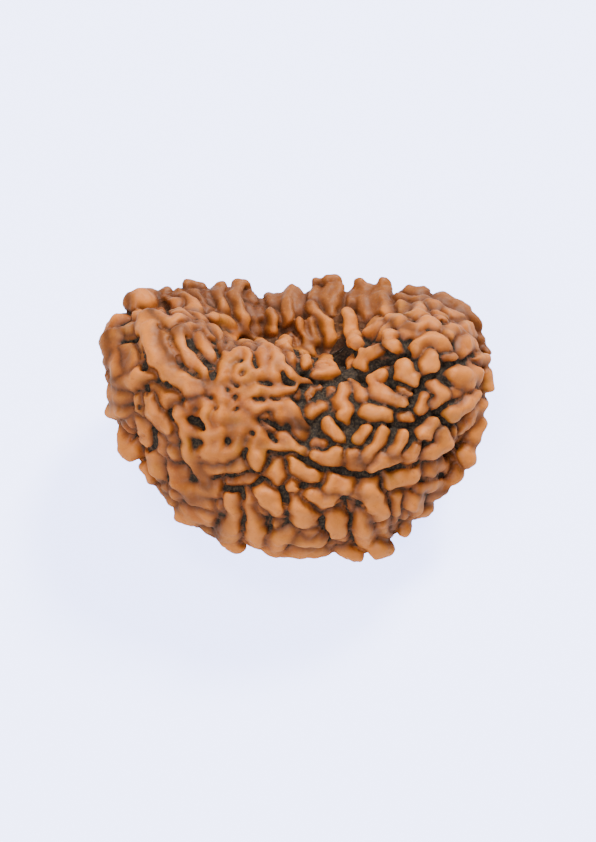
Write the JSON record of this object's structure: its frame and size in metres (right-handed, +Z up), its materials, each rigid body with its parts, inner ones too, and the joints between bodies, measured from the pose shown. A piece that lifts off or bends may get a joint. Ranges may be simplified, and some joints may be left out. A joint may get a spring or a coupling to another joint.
{
  "type": "rudraksha seed",
  "caption": "Half-moon one-faced rudraksha seed with deep warty ridges, a pitted front plate and an open valley along its upper edge.",
  "frame": {"origin": "centre of the bounding box in X and Y, on the surface that the seed rests on", "axes": "+X along the seed's length towards its right end, +Y away from the viewer, +Z up"},
  "size_m": [0.03, 0.0219, 0.0153],
  "materials": {
    "seed_shell": "waxy semi-gloss"
  },
  "bodies": {
    "root": {"seed": "seed_shell"}
  },
  "joints": []
}
